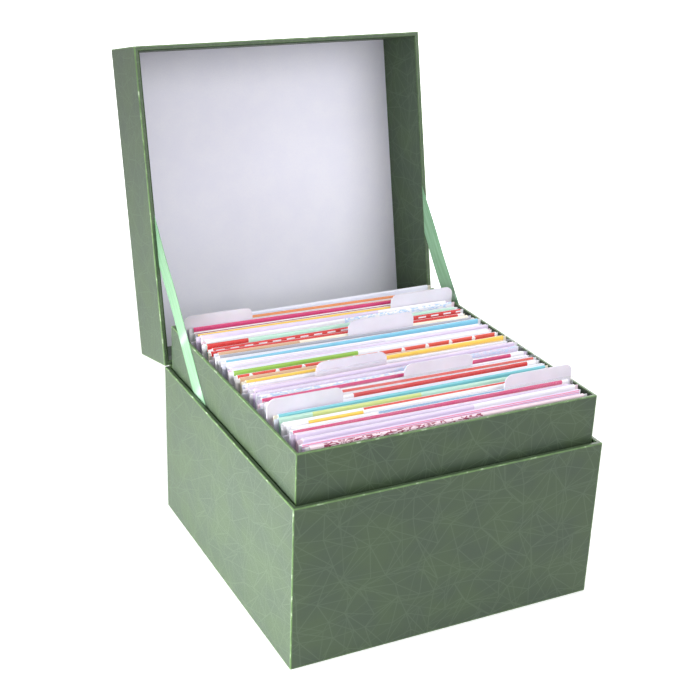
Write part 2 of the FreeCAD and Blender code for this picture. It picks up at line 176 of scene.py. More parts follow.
def plain_paper(name, ground, fleck, fibre, depth, rough, fleck_share=0.5, cloud_share=0.35):
    """An unprinted paper or board: its ground colour with flecks and clouds of its fibres."""
    material, tree, shader = finish(name, Roughness=rough, Specular_IOR_Level=0.3)
    place = put(tree, "TexCoord").outputs["Object"]
    fibre_look = effect(tree, paper_fibre, {"Vector": place, "Fibre": fibre})
    cloudy = mixed(tree, maths(tree, "MULTIPLY", fibre_look["Cloud"], cloud_share), ground, fleck)
    speckled = mixed(tree, maths(tree, "MULTIPLY", fibre_look["Fleck"], fleck_share), cloudy, fleck)
    tree.links.new(speckled, shader.inputs["Base Color"])
    relief(tree, shader, fibre_look["Height"], depth)
    return material


def dress(material, *nodes):
    """Gives pieces that keep their built shape a finish."""
    for node in nodes:
        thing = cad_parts[node]
        for slot in thing.material_slots:
            slot.material = material
        if not thing.material_slots:
            thing.data.materials.append(material)


WALLS = ("front", "rear", "left", "right")
greyboard = plain_paper("greyboard", tint(156, 150, 141), tint(112, 106, 99), 0.0016, 0.0001, 0.85)
dress(greyboard, "base_floor_board", *(f"base_{wall}_board" for wall in WALLS))

# Base corner stays. Gummed brown stay paper, folded round the inside of the four corners
# before the wrap goes on, because glue along the boards' edges alone wouldn't hold them.
stay_paper = plain_paper("stay_paper", tint(196, 168, 126), tint(150, 120, 84), 0.0009, 0.00004, 0.6)
dress(stay_paper, "base_corner_stays")

# Base wrap. Printed paper glued round the four walls, turned in over the rim and under the
# floor: dark sage green, softly mottled, with a web of fine paler lines that meet in stars.
# The print is rubbed paler where the paper is folded over the boards' edges, and the folds also carry a
# painted highlight: a lighter, yellower green with whitish painted glints.
MM = 0.001
HALF_WIDTH, HALF_DEPTH = 101.5, 102.207
BASE_TALL, WALL, WRAP = 104.3, 2.8, 0.25
# A fold's radius, the flat beside it up to the next point, and the steps it is drawn in.
FOLD, EASE, FOLD_STEPS = 0.55, 0.5, 4

line_web, entry, result = effect_group(
    "line_web",
    [("Vector", "Vector", None), ("Spacing", "Float", 0.02), ("Width", "Float", 0.0005)],
    [("Lines", "Float")],
)


def on_paper(operation, *terms, wanted="Vector", **scale):
    """One step of vector arithmetic in the web of lines."""
    return put(line_web, "VectorMath", dict(enumerate(terms)) | scale, operation=operation).outputs[wanted]


per_cell = maths(line_web, "DIVIDE", 1.0, entry.outputs["Spacing"])
on_web = on_paper("SCALE", entry.outputs["Vector"], Scale=per_cell)
cell = on_paper("FLOOR", on_web)
stars, swapped = {}, {}
for column in (-1, 0, 1):
    for row in (-1, 0, 1):
        corner = on_paper("ADD", cell, (column, row, 0.0))
        drawn = put(line_web, "TexWhiteNoise", {"Vector": corner}, noise_dimensions="2D")
        stars[column, row] = on_paper("MULTIPLY_ADD", drawn.outputs["Color"], (0.96, 0.96, 0.0), corner)
        swapped[column, row] = maths(line_web, "GREATER_THAN", drawn.outputs["Value"], 0.5)


def off_line(star, other):
    """How far a point of the paper is from the line between two stars."""
    from_star = on_paper("SUBTRACT", on_web, star)
    along = on_paper("SUBTRACT", other, star)
    gone = on_paper("DOT_PRODUCT", from_star, along, wanted="Value")
    whole = on_paper("DOT_PRODUCT", along, along, wanted="Value")
    share = maths(line_web, "DIVIDE", gone, whole, use_clamp=True)
    return on_paper("DISTANCE", from_star, on_paper("SCALE", along, Scale=share), wanted="Value")


def either_star(share, one, other):
    """One of two stars, by a share that is 0 or 1."""
    return put(line_web, "Mix", {0: share, 4: stars[one], 5: stars[other]}, data_type="VECTOR").outputs[1]


# Every star is joined to its neighbours beside and above it, and each cell has one diagonal.
# The distance to the nearest line starts at 10 cells, farther than any line is.
off_web = 10.0
for column in (-1, 0, 1):
    for row in (-1, 0, 1):
        lines = []
        if column < 1:
            lines.append((stars[column, row], stars[column + 1, row]))
        if row < 1:
            lines.append((stars[column, row], stars[column, row + 1]))
        if column < 1 and row < 1:
            lines.append((
                either_star(swapped[column, row], (column, row), (column + 1, row)),
                either_star(swapped[column, row], (column + 1, row + 1), (column, row + 1)),
            ))
        for line in lines:
            off_web = maths(line_web, "MINIMUM", off_line(*line), off_web)
off_web = maths(line_web, "MULTIPLY", off_web, entry.outputs["Spacing"])
half_line = maths(line_web, "MULTIPLY", entry.outputs["Width"], 0.3)
on_lines = faded(line_web, off_web, half_line, entry.outputs["Width"], 1.0, 0.0)
line_web.links.new(on_lines, result.inputs["Lines"])

mottled_print, entry, result = effect_group(
    "mottled_print",
    [("Vector", "Vector", None), ("Patch", "Float", 0.02)],
    [("Patches", "Float"), ("Grain", "Float"), ("Streaks", "Float")],
)
on_sheet = entry.outputs["Vector"]
patches = noise(mottled_print, on_sheet, maths(mottled_print, "DIVIDE", 1.0, entry.outputs["Patch"]), 2.5)
upright = put(mottled_print, "Mapping", {"Vector": on_sheet, "Scale": (900.0, 40.0, 1.0)})
mottled_print.links.new(faded(mottled_print, patches, 0.33, 0.67), result.inputs["Patches"])
mottled_print.links.new(noise(mottled_print, on_sheet, 1300.0, 2.0), result.inputs["Grain"])
mottled_print.links.new(noise(mottled_print, upright.outputs[0], 1.0, 2.0), result.inputs["Streaks"])

# The folds' paler tint is partly real rubbing and partly painted highlight; the glints are whitish painted
# highlights along the fold lines.
rubbed_lit_folds, entry, result = effect_group(
    "rubbed_lit_folds",
    [("Vector", "Vector", None), ("Amount", "Float", 0.7)],
    [("Rubbed_Lit", "Float"), ("Glints", "Float")],
)
folded = read(rubbed_lit_folds, "fold")
patchy = noise(rubbed_lit_folds, entry.outputs["Vector"], 150.0, 4.0)
patchy_wear_and_light = maths(rubbed_lit_folds, "MULTIPLY", folded, faded(rubbed_lit_folds, patchy, 0.3, 0.6, 0.45))
worn_and_lit = maths(rubbed_lit_folds, "MULTIPLY", patchy_wear_and_light, entry.outputs["Amount"])
fold_line = faded(rubbed_lit_folds, folded, 0.75, 0.95)
glint_specks = maths(rubbed_lit_folds, "MULTIPLY", fold_line, faded(rubbed_lit_folds, patchy, 0.56, 0.66))
rubbed_lit_folds.links.new(worn_and_lit, result.inputs["Rubbed_Lit"])
rubbed_lit_folds.links.new(glint_specks, result.inputs["Glints"])


def printed_paper(name, moss, slate, line, rubbed_and_lit, gloss=0.3, varnish=0.15):
    """The printed wrap: two greens in soft patches, the web of lines, and the folds rubbed paler with a
    painted highlight and whitish painted glints.
    """
    material, tree, shader = finish(name, Specular_IOR_Level=gloss, Coat_Weight=varnish, Coat_Roughness=0.35)
    flat = put(tree, "UVMap").outputs[0]
    print_look = effect(tree, mottled_print, {"Vector": flat, "Patch": 0.024})
    ground = mixed(tree, print_look["Patches"], moss, slate)
    streaked = mixed(tree, maths(tree, "MULTIPLY", print_look["Streaks"], 0.16), ground, tint(60, 74, 58))
    aside = put(tree, "Mapping", {"Vector": flat, "Location": (0.37, 0.21, 0.0), "Rotation": (0.0, 0.0, 0.6)})
    close = effect(tree, line_web, {"Vector": flat, "Spacing": 0.0125, "Width": 0.0004})
    wide = effect(tree, line_web, {"Vector": aside.outputs[0], "Spacing": 0.018, "Width": 0.0004})
    web = maths(tree, "MAXIMUM", close["Lines"], maths(tree, "MULTIPLY", wide["Lines"], 0.7))
    inked = mixed(tree, maths(tree, "MULTIPLY", web, 0.32), streaked, line)
    rub_and_light = effect(tree, rubbed_lit_folds, {"Vector": flat, "Amount": 0.6})
    greener = mixed(tree, rub_and_light["Rubbed_Lit"], inked, rubbed_and_lit)
    with_glints = mixed(tree, maths(tree, "MULTIPLY", rub_and_light["Glints"], 0.55), greener, tint(206, 218, 198))
    tree.links.new(with_glints, shader.inputs["Base Color"])
    rough = faded(tree, print_look["Grain"], 0.3, 0.7, 0.4, 0.5)
    tree.links.new(rough, shader.inputs["Roughness"])
    relief(tree, shader, print_look["Grain"], 0.00003, 0.6)
    return material


wrap_paper = printed_paper(
    "wrap_paper", tint(68, 85, 61), tint(63, 78, 62), tint(97, 116, 93), tint(116, 154, 90)
)


def bent_line(points, folds, radius, ease=EASE):
    """A paper's cross-section with rounded folds. Each point gets its fold's share of wear and painted
    highlight, and a point on the flat beside a fold gets none."""
    made = [(*points[0], folds[0])]
    for n in range(1, len(points) - 1):
        before, corner, after = (Vector(points[k]) for k in (n - 1, n, n + 1))
        to_before, to_after = (before - corner).normalized(), (after - corner).normalized()
        to_ends = (before - corner).length, (after - corner).length
        if to_ends[0] > 2 * (radius + ease):
            made.append((*(corner + to_before * (radius + ease)), 0.0))
        bend = min(radius, min(to_ends) * 0.49)
        start, end = corner + to_before * bend, corner + to_after * bend
        for step in range(FOLD_STEPS + 1):
            t = step / FOLD_STEPS
            spot = start * (1 - t) ** 2 + corner * 2 * t * (1 - t) + end * t ** 2
            made.append((*spot, folds[n]))
        if to_ends[1] > 2 * (radius + ease):
            made.append((*(corner + to_after * (radius + ease)), 0.0))
    made.append((*points[-1], folds[-1]))
    return made


def walk_round(half_width, low_y, high_y, inset, corner):
    """A rectangle's outline with small round corners, set in from the outside. It gives
    x, y, the distance along the outer outline, and 1 on a corner or 0 on a flat side."""
    wide, deep = 2 * half_width, high_y - low_y
    sides = [
        (Vector((-half_width, low_y)), Vector((1, 0)), wide),
        (Vector((half_width, low_y)), Vector((0, 1)), deep),
        (Vector((half_width, high_y)), Vector((-1, 0)), wide),
        (Vector((-half_width, high_y)), Vector((0, -1)), deep),
    ]
    spots, gone = [], 0.0
    tight = max(corner - inset, 0.03)
    for start, way, length in sides:
        inward = Vector((-way.y, way.x))
        clear = max(corner + EASE, inset + 0.3)
        near = inset + tight
        for step in range(FOLD_STEPS + 1):
            turn = math.pi / 4 * (step / FOLD_STEPS)
            centre = start + way * near + inward * near
            out = -way * math.sin(math.pi / 4 - turn) - inward * math.cos(math.pi / 4 - turn)
            spots.append((*(centre + out * tight), gone + corner * step / FOLD_STEPS, 1.0))
        for along in (clear, length / 2, length - clear):
            spots.append((*(start + way * along + inward * inset), gone + along, 0.0))
        for step in range(FOLD_STEPS):
            turn = math.pi / 4 * (step / FOLD_STEPS)
            centre = start + way * (length - near) + inward * near
            out = way * math.sin(turn) - inward * math.cos(turn)
            spots.append((*(centre + out * tight), gone + length - corner * (1 - step / FOLD_STEPS), 1.0))
        gone += length
    return spots, gone


def add_grid(body, rows, across, along, folds=None, ring=False, tube=False, caps=False):
    """Adds rows of points to a mesh as faces. across and along are the flat paper's sizes.
    A ring joins each row's ends, a tube joins the first and last rows, caps close them."""
    flat = body.loops.layers.uv.verify()
    worn_and_lit = body.verts.layers.float.get("fold") or body.verts.layers.float.new("fold")
    spots = [[body.verts.new(point) for point in row] for row in rows]
    if folds:
        for row, row_folds in zip(spots, folds):
            for spot, fold in zip(row, row_folds):
                spot[worn_and_lit] = fold
    tall, wide = len(spots), len(spots[0])
    for i in range(tall if tube else tall - 1):
        for j in range(wide if ring else wide - 1):
            i_next, j_next = (i + 1) % tall, (j + 1) % wide
            face = body.faces.new(
                (spots[i][j], spots[i][j_next], spots[i_next][j_next], spots[i_next][j])
            )
            face.smooth = True
            corners = ((j, i), (j + 1, i), (j + 1, i + 1), (j, i + 1))
            for loop, (column, row) in zip(face.loops, corners):
                loop[flat].uv = (across[column], along[row])
    if caps:
        for row, turned in ((spots[0], True), (spots[-1], False)):
            face = body.faces.new(row[::-1] if turned else row)
            for loop in face.loops:
                loop[flat].uv = (loop.vert.co.x, loop.vert.co.y - 0.4)
    return spots


def close_sides(body, spots, faces):
    """Closes the two open sides of a tube whose second half of rows runs back over its first."""
    for column in (0, -1):
        edge = [row[column] for row in spots]
        for n in range(faces):
            body.faces.new((edge[n], edge[n + 1], edge[-2 - n], edge[-1 - n]))


def as_piece(body, name, material, sharp=35.0, place=None):
    """Turns a mesh under construction into a piece with its finish."""
    bmesh.ops.recalc_face_normals(body, faces=body.faces)
    mesh = bpy.data.meshes.new(name)
    body.to_mesh(mesh)
    body.free()
    if place is not None:
        mesh.transform(place)
    mesh.set_sharp_from_angle(angle=math.radians(sharp))
    mesh.materials.append(material)
    thing = bpy.data.objects.new(name, mesh)
    bpy.context.scene.collection.objects.link(thing)
    return thing


def paper_band(name, outer, inner, size, corner, place=None, tube=True, material=None):
    """A wrap swept round a rectangle: its outer skin, and its inner skin against the boards."""
    body = bmesh.new()
    rows, along, folds, gone, last = [], [], [], 0.0, None
    for inset, height, fold in outer + inner:
        spots, around = walk_round(*size, inset, corner)
        rows.append([(x * MM, y * MM, height * MM) for x, y, _, _ in spots])
        folds.append([max(fold, edge if inset < 1.0 else 0.0) for _, _, _, edge in spots])
        if last is not None:
            gone += math.hypot(inset - last[0], height - last[1])
        last = (inset, height)
        along.append(gone * MM)
    across = [spot[2] * MM for spot in spots] + [around * MM]
    add_grid(body, rows, across, along + [gone * MM], folds, ring=True, tube=tube, caps=not tube)
    return as_piece(body, name, material or wrap_paper, place=place)


def flat_back(points):
    """The inner skin of a wrap, which has sharp folds and isn't rubbed or given a painted highlight."""
    return [(inset, height, 0.0) for inset, height in points]


TURN_IN, UNDER_TURN_IN, UNDER_SHEET = 18.0, 15.0, 0.25
# Each fold's number sets how far it is rubbed paler and given a painted highlight.
base_skin = bent_line(
    [
        (UNDER_TURN_IN, UNDER_SHEET), (0.0, UNDER_SHEET), (0.0, BASE_TALL), (WALL, BASE_TALL),
        (WALL, BASE_TALL - TURN_IN),
    ],
    [0.0, 0.8, 1.0, 0.35, 0.0], FOLD,
)
base_back = flat_back(
    [
        (WALL - WRAP, BASE_TALL - TURN_IN), (WALL - WRAP, BASE_TALL - WRAP), (WRAP, BASE_TALL - WRAP),
        (WRAP, UNDER_SHEET + WRAP), (UNDER_TURN_IN, UNDER_SHEET + WRAP),
    ]
)
base_size = (HALF_WIDTH, -HALF_DEPTH, HALF_DEPTH)
base_wrap = paper_band("base_wrap_paper", base_skin, base_back, base_size, FOLD)
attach(base_wrap, "box")
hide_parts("base_wrap")

# Base underside sheet and floor liner. A plain dark green paper covers the turned-under
# edges of the wrap, and a pale sheet covers the floor board inside the box.
underside_paper = plain_paper(
    "underside_paper", tint(74, 92, 72), tint(58, 74, 58), 0.0008, 0.00003, 0.62, 0.35, 0.4
)
dress(underside_paper, "base_underside_sheet")
liner_paper = plain_paper(
    "liner_paper", tint(232, 231, 240), tint(214, 213, 226), 0.0008, 0.00003, 0.6, 0.3, 0.3
)
dress(liner_paper, "base_floor_liner")

# Collar. A shoulder of 1.5 mm greyboard stands on the floor inside the base, stayed at its
# corners, and its own wrap of the same printed paper runs from a band under the base's rim
# over the collar's top edge and down its inside to the floor. The lid closes over it.
dress(greyboard, *(f"collar_{wall}_board" for wall in WALLS))
dress(stay_paper, "collar_corner_stays")
COLLAR_TOP, COLLAR_WALL, COLLAR_PAPER, COLLAR_FOLD = 133.9, 1.9, 0.2, 0.45
COLLAR_HALF, BAND_LOW, FLOOR_TOP = 97.8, BASE_TALL - 16.0, 3.0
collar_size = (COLLAR_HALF, -96.443, 98.507)
collar_skin = bent_line(
    [(0.0, BAND_LOW), (0.0, COLLAR_TOP), (COLLAR_WALL, COLLAR_TOP), (COLLAR_WALL, FLOOR_TOP)],
    [0.0, 1.0, 0.5, 0.0], COLLAR_FOLD,
)
inner_face = COLLAR_WALL - COLLAR_PAPER
collar_back = flat_back(
    [
        (inner_face, FLOOR_TOP), (inner_face, COLLAR_TOP - COLLAR_PAPER),
        (COLLAR_PAPER, COLLAR_TOP - COLLAR_PAPER), (COLLAR_PAPER, BAND_LOW),
    ]
)
collar_wrap = paper_band("collar_wrap_paper", collar_skin, collar_back, collar_size, COLLAR_FOLD)
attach(collar_wrap, "box")
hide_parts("collar_wrap")

# Lid boards. The lid's top and its four walls are the same greyboard as the base, butted and
# stayed at the corners with the same brown paper.
dress(greyboard, "lid_top_board", *(f"lid_{wall}_board" for wall in WALLS))
dress(stay_paper, "lid_corner_stays")

# Lid wrap and wall lining. One sheet of the printed paper covers the lid's top, comes down
# its walls and turns in over the rim; a band of the same print, painted darker as shade, lines the walls
# inside.
HINGE_HEIGHT, OPEN_ANGLE, LID_DEPTH, LID_TALL, LID_RIM = 104.5, 102.5, 204.414, 49.3, 0.2
lid_place = Matrix.Translation((0.0, HALF_DEPTH * MM, HINGE_HEIGHT * MM)) @ Matrix.Rotation(
    math.radians(-OPEN_ANGLE), 4, "X"
)
lid_size = (HALF_WIDTH, -LID_DEPTH, 0.0)
TOP_MARGIN = 3.5
lid_skin = bent_line(
    [(TOP_MARGIN, LID_TALL), (0.0, LID_TALL), (0.0, LID_RIM), (WALL, LID_RIM), (WALL, LID_RIM + TURN_IN)],
    [0.0, 1.0, 1.0, 0.25, 0.0], FOLD,
)
lid_back = flat_back(
    [
        (WALL - WRAP, LID_RIM + TURN_IN), (WALL - WRAP, LID_RIM + WRAP), (WRAP, LID_RIM + WRAP),
        (WRAP, LID_TALL - WRAP), (TOP_MARGIN, LID_TALL - WRAP),
    ]
)
lid_wrap = paper_band("lid_wrap_paper", lid_skin, lid_back, lid_size, FOLD, lid_place, tube=False)
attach(lid_wrap, "lid")
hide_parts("lid_wrap")

lining_low, lining_high = LID_RIM + WRAP, 46.25
lining_front, lining_glued = 3.25, 3.05
lining_skin = [
    (lining_front, lining_high, 0.0), (lining_front, lining_low + 1.0, 0.0), (lining_front, lining_low, 0.3)
]
lining_back = [(lining_glued, lining_low, 0.3), (lining_glued, lining_high, 0.0)]
# The lining is the wrap's print painted about a tenth darker, as painted shade on the lid's inner walls, and
# matt.
shaded_lining_print = printed_paper(
    "shaded_lining_print", tint(63, 78, 57), tint(59, 72, 58), tint(92, 110, 88), tint(104, 138, 84),
    gloss=0.15, varnish=0.0,
)
lid_lining = paper_band(
    "lid_lining_paper", lining_skin, lining_back, lid_size, FOLD, lid_place, material=shaded_lining_print
)
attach(lid_lining, "lid")
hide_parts("lid_wall_lining")

# Lid top panel. Thin card covered with smooth white paper that has a lavender cast, cut to
# the inside of the lid and glued over the ends of the lining.
panel_paper = plain_paper(
    "panel_paper", tint(244, 243, 255), tint(235, 234, 252), 0.0009, 0.00002, 0.5, 0.3, 0.35
)
dress(panel_paper, "lid_top_panel")


# Hinge strips. Two strips of the wrap's paper join the lid to the base: one outside on both
# rear walls, one inside over both rims. They fold along the hinge line.
def on_lid(back, up):
    """A point of the open lid's side view: back from the hinge along the rim, up from it."""
    spot = lid_place @ Vector((0.0, -back * MM, up * MM))
    return spot.y / MM, spot.z / MM


STRIP_HALF, STRIP_STEPS, STRIP_LOW = 98.2, 12, 90.55


def hinge_strip(name, node, points, start, end):
    """A bent strip of paper, 0.18 mm thick, along the hinge."""
    body = bmesh.new()
    # Its bends take the wrap's rubbed tint and painted highlight.
    line = bent_line(points, [0.0] + [0.55] * (len(points) - 2) + [0.0], 0.5, 0.8)
    skins = ([], [])
    for n, (y, z, fold) in enumerate(line):
        before, after = line[max(n - 1, 0)][:2], line[min(n + 1, len(line) - 1)][:2]
        way = (Vector(after) - Vector(before)).normalized()
        for skin, side in zip(skins, (0.09, -0.09)):
            skin.append((y - way.y * side, z + way.x * side, fold))
    loop = skins[0] + skins[1][::-1]
    stations = [n / STRIP_STEPS * 2 * STRIP_HALF - STRIP_HALF for n in range(STRIP_STEPS + 1)]
    rows = [[(x * MM, y * MM, z * MM) for x in stations] for y, z, _ in loop]
    along, gone = [0.0], 0.0
    for one, two in zip(loop, loop[1:] + loop[:1]):
        gone += math.hypot(two[0] - one[0], two[1] - one[1]) * MM
        along.append(gone)
    across = [(x + STRIP_HALF) * MM for x in stations]
    folds = [[fold] * len(stations) for _, _, fold in loop]
    spots = add_grid(body, rows, across, along, folds, tube=True)
    close_sides(body, spots, len(line) - 1)
    strip = as_piece(body, name, wrap_paper)
    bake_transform(strip, "box", "lid", start=start, end=end)
    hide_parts(node)


hinge_strip(
    "hinge_paper_outer", "hinge_strip_outer",
    [(HALF_DEPTH + 0.1, STRIP_LOW), (HALF_DEPTH + 0.1, 104.375), on_lid(-0.1, 13.95)],
    (0.0, 0.10242, 0.1044), (0.0, 0.1036, 0.1044),
)
hinge_strip(
    "hinge_paper_inner", "hinge_strip_inner",
    [
        (HALF_DEPTH - 2.9, STRIP_LOW), (HALF_DEPTH - 2.9, 104.4), (HALF_DEPTH, 104.4),
        on_lid(3.35, 0.1), on_lid(3.35, 13.95),
    ],
    (0.0, 0.1019, 0.1044), (0.0, 0.1025, 0.1058),
)

# Ribbon stays. Two lengths of 16 mm mint satin ribbon stop the lid: each is glued at one end
# between the base wall and the collar, and at the other between the lid's wall and its lining.
ribbon_satin, tree, shader = finish(
    "ribbon_satin", Specular_IOR_Level=0.14, Sheen_Weight=0.05, Sheen_Roughness=0.35
)
flat = put(tree, "UVMap").outputs[0]
ribbon_place = put(tree, "SeparateXYZ", {0: flat})
ribs = maths(tree, "SINE", maths(tree, "MULTIPLY", ribbon_place.outputs[1], 2 * math.pi / 0.00042))
floats = maths(tree, "SINE", maths(tree, "MULTIPLY", ribbon_place.outputs[0], 2 * math.pi / 0.0003))
satin_weave = maths(tree, "MULTIPLY_ADD", ribs, 0.35, maths(tree, "MULTIPLY_ADD", floats, 0.15, 0.5))
shimmer_way = put(tree, "Mapping", {"Vector": flat, "Scale": (420.0, 26.0, 1.0)})
shimmer = noise(tree, shimmer_way.outputs[0], 1.0, 2.0)
mint = mixed(tree, faded(tree, shimmer, 0.3, 0.7), tint(116, 156, 122), tint(138, 176, 145))
woven = mixed(tree, maths(tree, "MULTIPLY", satin_weave, 0.22), mint, tint(96, 140, 102))
selvedge = faded(tree, apart(tree, ribbon_place.outputs[0], 0.008), 0.0070, 0.0074)
edged = mixed(tree, maths(tree, "MULTIPLY", selvedge, 0.5), woven, tint(96, 142, 104))
# Paler where the ribbon bends over the collar's top edge and into the slot: a painted highlight.
crease_highlighted = mixed(tree, maths(tree, "MULTIPLY", read(tree, "fold"), 0.55), edged, tint(196, 220, 203))
tree.links.new(crease_highlighted, shader.inputs["Base Color"])
tree.links.new(faded(tree, shimmer, 0.3, 0.7, 0.28, 0.42), shader.inputs["Roughness"])
relief(tree, shader, satin_weave, 0.00004, 0.5)

RIBBON_WIDE, RIBBON_THICK, RUN, LEAN = 16.0, 0.25, 107.2, math.radians(48.07)
LOW_TAIL, TOP_TAIL, RIM_FLAT = 25.0, 18.0, 20.0
FOOT_BACK, PAST_COLLAR, CREASE_ROOM = 54.0, 46.97, 3.0
LOW_OUT, TOP_OUT = COLLAR_HALF + RIBBON_THICK / 2, COLLAR_HALF + 0.775


def ribbon_stay(name, node, side):
    """A ribbon from its low tail in the slot, over the gap, to its top tail in the lid."""
    body = bmesh.new()
    run_way = Vector((math.cos(LEAN), math.sin(LEAN)))
    cross_way = Vector((-math.sin(LEAN), math.cos(LEAN)))
    foot = Vector((HALF_DEPTH - FOOT_BACK, BASE_TALL))
    steps, columns = 76, 9
    total = LOW_TAIL + RUN + TOP_TAIL
    skins, folds = ([], []), []
    for step in range(steps + 1):
        along = -LOW_TAIL + total * step / steps
        slope_from = PAST_COLLAR + CREASE_ROOM
        up_slope = min(max((along - slope_from) / (RUN - RIM_FLAT - slope_from), 0.0), 1.0)
        out = LOW_OUT + (TOP_OUT - LOW_OUT) * up_slope * up_slope * (3 - 2 * up_slope)
        free = min(max((along - PAST_COLLAR - 2.0) / 50.0, 0.0), 1.0)
        bow = -0.7 * math.sin(math.pi * free) ** 2
        crease = math.exp(-((along - 40.0) / 2.2) ** 2) + 0.8 * math.exp(-((along - 2.5) / 2.6) ** 2)
        for skin, thick in zip(skins, (RIBBON_THICK / 2, -RIBBON_THICK / 2)):
            row = []
            for column in range(columns):
                share = column / (columns - 1) * 2 - 1
                spot = foot + run_way * along + cross_way * (share * RIBBON_WIDE / 2)
                cup = bow * (1 - 0.5 * share * share) + 0.05 * crease * share
                row.append((side * (out + thick + cup) * MM, spot.x * MM, spot.y * MM))
            skin.append(row)
        # The crease's share also sets where the satin gets its painted highlight.
        folds.append([min(crease, 1.0)] * columns)
    rows = skins[0] + skins[1][::-1]
    lengths = [total * step / steps * MM for step in range(steps + 1)]
    across = [RIBBON_WIDE * column / (columns - 1) * MM for column in range(columns)]
    lengths += lengths[::-1] + [0.0]
    spots = add_grid(body, rows, across, lengths, folds + folds[::-1], tube=True)
    close_sides(body, spots, steps)
    ribbon = as_piece(body, name, ribbon_satin, sharp=60.0)
    rim = foot + run_way * (RUN - 6.0)
    ledge = foot + run_way * 4.0
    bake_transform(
        ribbon, "box", "lid", start=(0.0, ledge.x * MM, ledge.y * MM), end=(0.0, rim.x * MM, rim.y * MM)
    )
    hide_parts(node)


ribbon_stay("ribbon_left", "ribbon_stay_left", -1)
ribbon_stay("ribbon_right", "ribbon_stay_right", 1)

# Dividers. Seven sheets of frosted plastic, die-cut with one tab each; they stand on edge
# between the groups of cards. Their faces are matt, with a very fine even tooth.
divider_sheet, tree, shader = finish(
    "divider_sheet", Specular_IOR_Level=0.45, Subsurface_Weight=0.15, Subsurface_Scale=0.002
)
place = put(tree, "TexCoord").outputs["Object"]
tooth = noise(tree, place, 2400.0, 2.0)
haze = noise(tree, place, 55.0, 3.0)
frost = mixed(tree, faded(tree, haze, 0.32, 0.68), tint(233, 230, 241), tint(225, 222, 233))
toothed = mixed(tree, maths(tree, "MULTIPLY", tooth, 0.08), frost, tint(206, 203, 215))
tree.links.new(toothed, shader.inputs["Base Color"])
tree.links.new(faded(tree, tooth, 0.3, 0.7, 0.42, 0.55), shader.inputs["Roughness"])
relief(tree, shader, tooth, 0.00002, 0.6)
dress(divider_sheet, *(f"divider_{n}" for n in range(1, 8)))

# Greeting cards. Each is a sheet of card folded once along its top and standing astride its
# envelope, fold up, a little out of line with its neighbours. Its front has a plain printed
# band, spots, dashes, thin lines or sprigs near the fold, and a framed ring of petals below.
BAY_REAR, SET_PITCH, SET_AIR, DIVIDER_BAY, SEAT = 96.607, 4.25, 1.65, 1.2, 3.2
CARD_WIDE, CARD_TALL, CARD_THICK, CARD_LEAF = 181.0, 131.5, 2.6, 0.5
ENVELOPE_WIDE, ENVELOPE_TALL, ENVELOPE_THICK, SET_TRIM = 184.0, 133.0, 1.2, 0.8
# How many trims each set is shorter than the tallest, section by section from the rear.
SET_TRIMS = (
    (0, 1, 2), (0, 1, 1), (0, 1, 2, 0, 1, 2, 2), (1, 2, 0, 1, 2, 1, 0, 1, 2, 1, 2, 2),
    (0, 1, 2, 1, 2), (0, 1, 2), (0, 1, 2, 1, 2), (0, 1, 1, 2, 3),
)
PAINTS = {
    "white": tint(246, 245, 250), "cream": tint(250, 242, 224), "lilac": tint(226, 212, 238),
    "mist": tint(230, 232, 246), "blush": tint(246, 222, 233), "mint": tint(190, 226, 210),
    "pink": tint(230, 128, 164), "magenta": tint(206, 52, 112), "maroon": tint(150, 50, 84),
    "red": tint(206, 44, 38), "coral": tint(216, 74, 54), "orange": tint(228, 142, 84),
    "yellow": tint(248, 206, 84), "lime": tint(146, 190, 74), "leaf": tint(206, 218, 140),
    "sky": tint(128, 200, 228), "pale_blue": tint(188, 212, 244), "turquoise": tint(124, 200, 212),
    "tan": tint(214, 174, 140), "grey": tint(166, 170, 184), "blue": tint(92, 160, 206),
}
